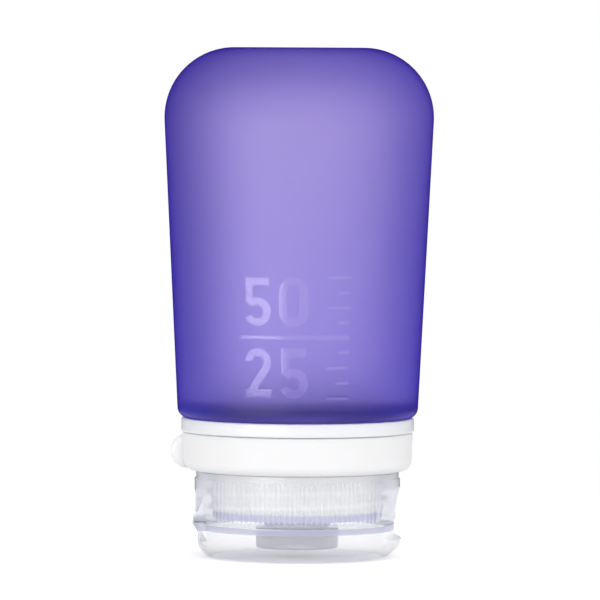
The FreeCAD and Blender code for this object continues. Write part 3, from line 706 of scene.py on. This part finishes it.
def make_lid():
    """Clear lid: a cup with a plug, the lifting lip at +X and its half of the hinge at -X.

    Rows of the outer wall take the larger of the cup, the lip's profile and the hinge plane.
    """
    corners = [
        (0, 0, 0, 3),
        (LID_RADIUS, 0, LID_ROUND, 0.2),
        (LID_RADIUS, LID_RIM, 0.15, COARSE),
        (LID_BORE, LID_RIM, 0.15, 0.5),
        (LID_BORE, LID_FLOOR, 2.0, 3),
        (PLUG_RADIUS, LID_FLOOR, 0.2, COARSE),
        (PLUG_RADIUS, PLUG_TOP, 0.4, COARSE),
        (0, PLUG_TOP, 0, COARSE),
    ]
    outline = section(corners, closed=False)
    rim = int(np.argmin(np.hypot(outline[:, 0] - LID_BORE, outline[:, 1] - LID_RIM)))
    outer = (np.arange(len(outline)) < rim)[:, None]

    def shape(across, height, angle):
        off_hinge = np.abs(np.degrees(turned_from(angle, math.pi)))
        off_lip = np.abs(np.degrees(turned_from(angle, 0)))
        at_hinge = off_hinge < math.degrees(math.asin(HINGE_HALF_WIDTH / LID_RADIUS))
        lift = (LID_WEDGE[1] - LID_RIM) * np.clip(height - LID_RIM + 1, 0, 1)
        height = np.where(at_hinge, height + lift, height)
        below = np.maximum(LID_ROUND ** 2 - (LID_ROUND - height) ** 2, 0)
        cup = np.where(height > LID_ROUND, LID_RADIUS, LID_RADIUS - LID_ROUND + np.sqrt(below))
        lip = np.interp(height, LIP_HEIGHTS, LIP_RADII, left=0)
        lip = np.where(height > LIP_HEIGHTS[2], lip, np.maximum(lip, cup))
        share = smooth_step((LIP_HALF - off_lip) / LIP_FADE) * (height >= LIP_HEIGHTS[0])
        wedge = wedge_reach(angle, height, LID_WEDGE, (LID_WEDGE_FOOT, HINGE_X))
        wall = np.maximum(cup + share * (lip - cup), wedge)
        share = np.clip((across - LID_BORE) / np.maximum(cup - LID_BORE, 1e-3), 0, 1)
        on_rim = outer & (height > LID_RIM - 0.2) & (cup - across > 1e-4)
        moved = np.where(on_rim, LID_BORE + share * (wall - LID_BORE), across + wall - cup)
        return np.where(outer & (height > LID_FACE), moved, across), height

    angles = column_angles(
        2,
        *both_sides(0, LIP_HALF - LIP_FADE, LIP_HALF, 0.3),
        *both_sides(180, *LID_WEDGE_SIDES, 0.25),
    )
    lid = turned_piece("clear_lid", outline, angles, shape, closed=False)
    on_side = outer[1:-1, 0] & (outline[1:-1, 1] > 0.05)
    on_side = np.append(np.repeat(on_side, len(angles)), [0, 0])
    x, y, z = points_mm(lid)
    # Painted shade on the lid: lilac grey at the foot, in a band just under the rim and on the hinge
    # half.
    on_foot = smooth_step((1.8 - z) / 0.6)
    on_rim = smooth_step((z - LID_RIM + 1.25) / 0.15) * smooth_step((LID_RIM - 0.04 - z) / 0.1)
    on_wedge = (x < -LID_WEDGE_FOOT) & (np.abs(y) < HINGE_HALF_WIDTH) & (z > LID_WEDGE[0])
    painted_shade = np.maximum(LID_FOOT_SHADE * on_foot, LID_RIM_SHADE * on_rim)
    painted_shade = np.maximum(painted_shade, LID_WEDGE_SHADE * on_wedge)
    paint(lid, "painted_shade", on_side * painted_shade)
    paint(lid, "haze", on_side * smooth_step((LID_RIM - z) / 0.2))
    return lid


def make_web(name, *spans):
    """Web of the living hinge: its bent outline in the middle plane, carried along Y over each span."""
    tip, foot = WEB_LOW[0], WEB_HIGH[0] - SKIN_GAP
    low, high = WEB_LOW[2], WEB_HIGH[2]
    hinge_line = -HINGE_X - SKIN_GAP
    corners = [
        (foot, high, 0.03, WEB_STEP),
        (tip, (low + high) / 2, 0.2, WEB_STEP),
        (foot, low, 0.03, WEB_STEP),
        (hinge_line, LID_WEDGE[1], 0.05, WEB_STEP),
        (hinge_line, CAP_WEDGE[0], 0.05, WEB_STEP),
    ]
    outline = section(corners)
    along = np.linspace(0, 1, WEB_STATIONS)[None]
    across, height, along = np.broadcast_arrays(outline[:, :1], outline[:, 1:], along)
    blocks, sides, starts, ends = [], [], [], []
    for i, (low_y, high_y) in enumerate(spans):
        first = i * across.size
        rim = first + np.arange(len(outline)) * WEB_STATIONS
        blocks.append(np.stack([across, low_y + (high_y - low_y) * along, height], -1).reshape(-1, 3))
        sides.append(first + grid_quads(len(outline), WEB_STATIONS, True, False))
        starts.append(rim)
        ends.append(rim[::-1] + WEB_STATIONS - 1)
    points = np.concatenate(blocks)
    web = add_piece(name, points, np.concatenate(sides), np.array(starts), np.array(ends))
    paint(web, "haze", np.ones(len(points)))
    return web


# Materials

def new_group(name, inputs, outputs):
    """An empty shader group with its input and output nodes. Sockets are pairs of a name and a type."""
    group = bpy.data.node_groups.new(name, "ShaderNodeTree")
    for title, kind in inputs:
        group.interface.new_socket(title, in_out="INPUT", socket_type="NodeSocket" + kind)
    for title, kind in outputs:
        group.interface.new_socket(title, in_out="OUTPUT", socket_type="NodeSocket" + kind)
    return group, group.nodes.new("NodeGroupInput"), group.nodes.new("NodeGroupOutput")


def add_math(nodes, link, operation, *values):
    """A math node whose inputs are numbers or other sockets. Returns its output."""
    node = nodes.new("ShaderNodeMath")
    node.operation = operation
    for socket, value in zip(node.inputs, values):
        if isinstance(value, (int, float)):
            socket.default_value = value
        else:
            link(value, socket)
    return node.outputs[0]


def add_ramp(nodes, link, value, low, high, first, last):
    """A smooth change from first to last as value goes from low to high. Returns its output."""
    node = nodes.new("ShaderNodeMapRange")
    node.interpolation_type = "SMOOTHSTEP"
    link(value, node.inputs["Value"])
    node.inputs["From Min"].default_value = low
    node.inputs["From Max"].default_value = high
    node.inputs["To Min"].default_value = first
    node.inputs["To Max"].default_value = last
    return node.outputs["Result"]


def moulded_surface():
    """Group for moulded surfaces: a fine grain for bump, a slow mottle for colour and roughness."""
    inputs = [("Position", "Vector"), ("Grain Scale", "Float"), ("Mottle Scale", "Float"),
              ("Roughness", "Float"), ("Variation", "Float")]
    group, start, end = new_group("moulded_surface", inputs,
                                  [("Grain", "Float"), ("Mottle", "Float"), ("Roughness", "Float")])
    grain = group.nodes.new("ShaderNodeTexNoise")
    grain.inputs["Detail"].default_value = 3
    mottle = group.nodes.new("ShaderNodeTexNoise")
    mottle.inputs["Detail"].default_value = 2
    spread = group.nodes.new("ShaderNodeMath")
    spread.operation = "MULTIPLY_ADD"
    centred = group.nodes.new("ShaderNodeMath")
    centred.operation = "SUBTRACT"
    centred.inputs[1].default_value = 0.5
    link = group.links.new
    link(start.outputs["Position"], grain.inputs["Vector"])
    link(start.outputs["Grain Scale"], grain.inputs["Scale"])
    link(start.outputs["Position"], mottle.inputs["Vector"])
    link(start.outputs["Mottle Scale"], mottle.inputs["Scale"])
    link(mottle.outputs["Fac"], centred.inputs[0])
    link(centred.outputs[0], spread.inputs[0])
    link(start.outputs["Variation"], spread.inputs[1])
    link(start.outputs["Roughness"], spread.inputs[2])
    link(grain.outputs["Fac"], end.inputs["Grain"])
    link(mottle.outputs["Fac"], end.inputs["Mottle"])
    link(spread.outputs[0], end.inputs["Roughness"])
    return group


SURFACE = moulded_surface()


def moulded_material(name, colours, roughness, variation, grain_scale, mottle_scale, grain_depth):
    """Material with the moulded surface: two close colours mixed by the mottle, and grain as bump.

    Returns the material, its principled shader, the group node and the node that mixes the colours.
    """
    material = bpy.data.materials.new(name)
    material.use_nodes = True
    nodes, link = material.node_tree.nodes, material.node_tree.links.new
    shader = nodes["Principled BSDF"]
    place = nodes.new("ShaderNodeTexCoord")
    surface = nodes.new("ShaderNodeGroup")
    surface.node_tree = SURFACE
    surface.inputs["Grain Scale"].default_value = grain_scale
    surface.inputs["Mottle Scale"].default_value = mottle_scale
    surface.inputs["Roughness"].default_value = roughness
    surface.inputs["Variation"].default_value = variation
    colour = nodes.new("ShaderNodeMix")
    colour.data_type = "RGBA"
    colour.inputs["A"].default_value = (*colours[0], 1)
    colour.inputs["B"].default_value = (*colours[1], 1)
    bump = nodes.new("ShaderNodeBump")
    bump.inputs["Strength"].default_value = 1
    bump.inputs["Distance"].default_value = grain_depth * MM
    link(place.outputs["Object"], surface.inputs["Position"])
    link(surface.outputs["Mottle"], colour.inputs["Factor"])
    link(surface.outputs["Grain"], bump.inputs["Height"])
    link(colour.outputs["Result"], shader.inputs["Base Color"])
    link(surface.outputs["Roughness"], shader.inputs["Roughness"])
    link(bump.outputs["Normal"], shader.inputs["Normal"])
    return material, shader, surface, colour


def silicone():
    """Frosted purple silicone: clear at heart, coloured by the length of the way through it.

    The polish attribute lowers the roughness on the raised marks, and the frost attribute dims
    the frosted skin.
    """
    material, shader, surface, colour = moulded_material(
        "frosted_silicone", ((0.83, 0.8, 0.92), (0.87, 0.84, 0.94)), roughness=0.5, variation=0.1,
        grain_scale=5200, mottle_scale=60, grain_depth=0.02)
    nodes, link = material.node_tree.nodes, material.node_tree.links.new
    shader.inputs["Transmission Weight"].default_value = 1
    shader.inputs["IOR"].default_value = 1.41
    polish = nodes.new("ShaderNodeAttribute")
    polish.attribute_name = "polish"
    rough = nodes.new("ShaderNodeMix")
    rough.inputs["B"].default_value = 0.12
    link(polish.outputs["Fac"], rough.inputs["Factor"])
    link(surface.outputs["Roughness"], rough.inputs["A"])
    link(rough.outputs["Result"], shader.inputs["Roughness"])
    frost = nodes.new("ShaderNodeAttribute")
    frost.attribute_name = "frost"
    skin = nodes.new("ShaderNodeMix")
    skin.data_type = "RGBA"
    skin.inputs["A"].default_value = (1, 0.98, 0.92, 1)
    link(frost.outputs["Fac"], skin.inputs["Factor"])
    link(colour.outputs["Result"], skin.inputs["B"])
    link(skin.outputs["Result"], shader.inputs["Base Color"])
    shader.inputs["Coat Weight"].default_value = 1
    shader.inputs["Coat IOR"].default_value = 1
    shader.inputs["Coat Tint"].default_value = (0.915, 0.885, 0.98, 1)
    tint_source = nodes.new("ShaderNodeVolumeAbsorption")
    tint_source.inputs["Color"].default_value = (0.14, 0.09, 0.96, 1)
    tint_source.inputs["Density"].default_value = 100
    link(tint_source.outputs["Volume"], nodes["Material Output"].inputs["Volume"])
    return material


def clear_plastic(name, haze, edge_haze, tint_grey):
    """Clear moulded plastic whose outer faces are hazy, more so where they are seen aslant.

    The attribute haze marks these faces. Another attribute paints lilac-grey shade into the base colour
    at the nozzle, the sides and other places, and makes them less clear. The other faces are polished.
    """
    material, shader, _, colour = moulded_material(
        name, ((0.987, 0.99, 0.998), (0.995, 0.997, 1)), roughness=0.16, variation=0.08,
        grain_scale=900, mottle_scale=90, grain_depth=0.01)
    nodes, link = material.node_tree.nodes, material.node_tree.links.new
    # Painted shade: an attribute mixes the base colour toward the lilac grey below and raises the alpha
    # there.
    tint_source = nodes.new("ShaderNodeAttribute")
    tint_source.attribute_name = "painted_shade"
    shade_mix = nodes.new("ShaderNodeMix")
    shade_mix.data_type = "RGBA"
    shade_mix.inputs["B"].default_value = (0.42, 0.435, 0.58, 1)
    link(tint_source.outputs["Fac"], shade_mix.inputs["Factor"])
    link(colour.outputs["Result"], shade_mix.inputs["A"])
    link(shade_mix.outputs["Result"], shader.inputs["Base Color"])
    aslant = nodes.new("ShaderNodeLayerWeight")
    aslant.inputs["Blend"].default_value = 0.25
    edge = add_ramp(nodes, link, aslant.outputs["Facing"], 0, 1, haze, edge_haze)
    outer = nodes.new("ShaderNodeAttribute")
    outer.attribute_name = "haze"
    veil = add_math(nodes, link, "MULTIPLY", edge, outer.outputs["Fac"])
    painted_shade = add_math(nodes, link, "MULTIPLY", tint_source.outputs["Fac"], 0.8)
    veil = add_math(nodes, link, "MAXIMUM", veil, painted_shade)
    link(add_math(nodes, link, "MAXIMUM", veil, 0.06), shader.inputs["Alpha"])
    shader.inputs["IOR"].default_value = 1.49
    shader.inputs["Coat Weight"].default_value = 1
    shader.inputs["Coat IOR"].default_value = 1.05
    shader.inputs["Coat Tint"].default_value = (tint_grey, tint_grey + 0.003, tint_grey + 0.01, 1)
    return material


def opaque(name, colours, roughness, grain_scale, grain_depth):
    """Plain moulded plastic or elastomer."""
    material, shader, _, _ = moulded_material(
        name, colours, roughness, variation=0.12, grain_scale=grain_scale, mottle_scale=70,
        grain_depth=grain_depth)
    shader.inputs["IOR"].default_value = 1.47
    shader.inputs["Subsurface Weight"].default_value = 0.8
    shader.inputs["Subsurface Scale"].default_value = 2 * MM
    shader.inputs["Subsurface Radius"].default_value = (1, 0.95, 0.9)
    return material


def dress(piece, material):
    """Gives a piece its material, which is then its only one."""
    piece.data.materials.clear()
    piece.data.materials.append(material)


body = make_body()
collar = make_collar()
ring = make_ring()
cap = make_cap()
lid = make_lid()
film = make_web("hinge_middle_web", (WEB_LOW[1], WEB_HIGH[1]))
strap_inner = WEB_HIGH[1] + STRAP_GAP
straps = make_web("hinge_side_webs", (STRAP_LOW[1], -strap_inner), (strap_inner, STRAP_HIGH[1]))

purple = silicone()
milky_purple = opaque("milky_silicone", ((0.1, 0.09, 0.56), (0.13, 0.12, 0.6)), 0.5, 5200, 0.02)
ribbed_clear = clear_plastic("ribbed_clear", haze=0.44, edge_haze=0.74, tint_grey=0.985)
smooth_clear = clear_plastic("smooth_clear", haze=0.19, edge_haze=0.5, tint_grey=0.96)
dress(body, purple)
body.data.materials.append(milky_purple)
centres = np.empty(3 * len(body.data.polygons))
body.data.polygons.foreach_get("center", centres)
on_lip = centres.reshape(-1, 3)[:, 2] / MM < NECK_END - 2 * SKIN_GAP
body.data.polygons.foreach_set("material_index", on_lip.astype(np.int32))
dress(cap, ribbed_clear)
for piece in (lid, film, straps):
    dress(piece, smooth_clear)

# Opaque pieces: slot, two close colours, roughness, grain scale and grain depth.
valve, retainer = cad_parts["slit_valve"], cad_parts["valve_retainer"]
for piece, slot, *finish in (
    (collar, "collar_plastic", ((0.735, 0.745, 0.768), (0.77, 0.78, 0.795)), 0.32, 1400, 0.006),
    (ring, "ring_elastomer", ((0.752, 0.752, 0.757), (0.78, 0.78, 0.785)), 0.6, 3600, 0.012),
    # The valve is pale silicone, and the lilac in its colours is painted purple light from the silicone
    # body above it.
    (valve, "valve_silicone", ((0.72, 0.72, 0.8), (0.8, 0.8, 0.86)), 0.5, 3000, 0.01),
    (retainer, "retainer_plastic", ((0.84, 0.84, 0.85), (0.88, 0.88, 0.89)), 0.4, 1500, 0.006),
):
    dress(piece, opaque(slot, *finish))

for piece, node, rides_on in (
    (body, "bottle_body", "bottle"),
    (collar, "neck_collar", "bottle"),
    (ring, "tab_ring", "tab_ring"),
    (cap, "screw_cap", "cap"),
    (lid, "flip_lid", "lid"),
):
    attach(piece, rides_on)
    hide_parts(node)

for piece, node in ((film, "hinge_film"), (straps, "hinge_straps")):
    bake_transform(piece)
    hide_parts(node)


# Stage: a plain pale floor, a white world and a soft light panel to the left of the camera.

# How strong the light is that comes from the floor, from the sides of the world and from the panel.
FLOOR_LIFT = 0.32
FRONT_LIGHT = 1.62
BACK_LIGHT = 0.65
FRONT_GLOSS = 1.2
BACK_GLOSS = 0.06
LEFT_VIEW = 0.5
RIGHT_VIEW = 1.0
ABOVE_VIEW = 0.8
PANEL_LIGHT = 7

# Where the world's light changes, as parts of a direction's length along X, Y or Z.
GLOSS_EDGE = (-0.4, 0.3)
SIDE_EDGE = (-0.5, 0.5)
BACKDROP_EDGE = (0.7, 0.97)
BEFORE_EDGE = (-0.3, 0)
ABOVE_EDGE = (0.2, 0.8)

# Floor rings in millimetres, and the camera in metres, degrees and millimetres of lens.
FLOOR_RINGS = (20, 50, 100, 160)
FLOOR_COLUMNS = 96
CAMERA_PLACE = (0.0003, -1.05, 0.0885)
CAMERA_TARGET = (0.0003, 0, 0.045)
CAMERA_ROLL = 0.3
CAMERA_LENS = 360


def make_floor():
    """Round pale floor that meets the white surroundings without a visible edge.

    It shines a little where it is seen, so that it is white away from the object's shadow.
    The bottle stands on its lid, so the floor goes down with the cap when that is unscrewed.
    """
    count = FLOOR_COLUMNS
    angles = np.linspace(0, 2 * math.pi, count, endpoint=False)
    rings = np.array(FLOOR_RINGS)[:, None]
    grid = np.stack(np.broadcast_arrays(rings * np.cos(angles), rings * np.sin(angles), -SKIN_GAP), -1)
    points = np.concatenate([grid.reshape(-1, 3), [[0, 0, -SKIN_GAP]]])
    column = np.arange(count)
    fan = np.stack([np.full(count, len(points) - 1), column, (column + 1) % count], -1)
    quads = grid_quads(len(rings), count, False, True)[:, ::-1]
    mesh = bpy.data.meshes.new("floor")
    mesh.from_pydata(points * MM, [], quads.tolist() + fan.tolist())
    floor = bpy.data.objects.new("floor", mesh)
    bpy.context.scene.collection.objects.link(floor)
    material = bpy.data.materials.new("pale_floor")
    material.use_nodes = True
    nodes, link = material.node_tree.nodes, material.node_tree.links.new
    shader = nodes["Principled BSDF"]
    shader.inputs["Base Color"].default_value = (0.86, 0.86, 0.86, 1)
    shader.inputs["Roughness"].default_value = 0.9
    shader.inputs["Specular IOR Level"].default_value = 0
    shader.inputs["Emission Color"].default_value = (1, 1, 1, 1)
    path = nodes.new("ShaderNodeLightPath")
    seen = path.outputs["Is Camera Ray"]
    for ray in ("Is Transmission Ray", "Is Glossy Ray"):
        seen = add_math(nodes, link, "MAXIMUM", seen, path.outputs[ray])
    link(add_math(nodes, link, "MULTIPLY", seen, FLOOR_LIFT), shader.inputs["Emission Strength"])
    mesh.materials.append(material)
    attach(floor, "retainer")


def make_world():
    """White surroundings of strength 1 where they are seen, directly or through plastic.

    Their light on the object is soft and stronger from the camera's side, and so is what gloss
    shows of them.
    """
    world = bpy.data.worlds.new("white_surroundings")
    world.use_nodes = True
    world.cycles.sampling_method = "NONE"
    bpy.context.scene.world = world
    nodes, link = world.node_tree.nodes, world.node_tree.links.new
    place = nodes.new("ShaderNodeTexCoord")
    split = nodes.new("ShaderNodeSeparateXYZ")
    link(place.outputs["Generated"], split.inputs[0])
    path = nodes.new("ShaderNodeLightPath")
    light = add_ramp(nodes, link, split.outputs["Y"], -1, 1, FRONT_LIGHT, BACK_LIGHT)
    gloss = add_ramp(nodes, link, split.outputs["Y"], *GLOSS_EDGE, FRONT_GLOSS, BACK_GLOSS)
    soft = nodes.new("ShaderNodeMix")
    link(path.outputs["Is Glossy Ray"], soft.inputs["Factor"])
    link(light, soft.inputs["A"])
    link(gloss, soft.inputs["B"])
    backdrop = add_ramp(nodes, link, split.outputs["Y"], *BACKDROP_EDGE, 0, 1)
    for axis, edge, first, last in (
        ("X", SIDE_EDGE, LEFT_VIEW, RIGHT_VIEW),
        ("Y", BEFORE_EDGE, 1, 0),
        ("Z", ABOVE_EDGE, 0, ABOVE_VIEW),
    ):
        shown = add_ramp(nodes, link, split.outputs[axis], *edge, first, last)
        backdrop = add_math(nodes, link, "MAXIMUM", backdrop, shown)
    through = nodes.new("ShaderNodeMix")
    link(path.outputs["Is Transmission Ray"], through.inputs["Factor"])
    link(soft.outputs["Result"], through.inputs["A"])
    link(backdrop, through.inputs["B"])
    strength = add_math(nodes, link, "MAXIMUM", through.outputs["Result"], path.outputs["Is Camera Ray"])
    background = nodes["Background"]
    background.inputs["Color"].default_value = (1, 1, 1, 1)
    link(strength, background.inputs["Strength"])


def make_panel(name, azimuth, distance, width, low, high, radiance):
    """Soft light panel that faces the axis, with azimuth in degrees to the right of the camera."""
    light = bpy.data.lights.new(name, "AREA")
    light.shape = "RECTANGLE"
    light.size = width
    light.size_y = high - low
    light.energy = radiance * math.pi * width * (high - low)
    panel = bpy.data.objects.new(name, light)
    a = math.radians(azimuth)
    away = Vector((math.sin(a), -math.cos(a), 0))
    panel.location = away * distance + Vector((0, 0, (low + high) / 2))
    panel.rotation_euler = away.to_track_quat("Z", "Y").to_euler()
    panel.visible_camera = False
    panel.visible_diffuse = False
    bpy.context.scene.collection.objects.link(panel)


def make_camera():
    """Camera at the photograph's viewing angle, level with the top of the bottle."""
    data = bpy.data.cameras.new("camera")
    data.sensor_width = 36
    data.lens = CAMERA_LENS
    camera = bpy.data.objects.new("camera", data)
    camera.location = CAMERA_PLACE
    view = Vector(CAMERA_TARGET) - camera.location
    roll = Quaternion((0, 0, 1), math.radians(CAMERA_ROLL))
    camera.rotation_mode = "QUATERNION"
    camera.rotation_quaternion = view.to_track_quat("-Z", "Y") @ roll
    data.clip_start = 0.01
    bpy.context.scene.collection.objects.link(camera)
    bpy.context.scene.camera = camera


make_floor()
make_world()
make_panel("left_panel", azimuth=-33, distance=0.17, width=0.117, low=0.002, high=0.045,
           radiance=PANEL_LIGHT)
make_camera()

scene = bpy.context.scene
scene.view_settings.view_transform = "Standard"
scene.cycles.max_bounces = 32
scene.cycles.transmission_bounces = 28
scene.cycles.transparent_max_bounces = 32
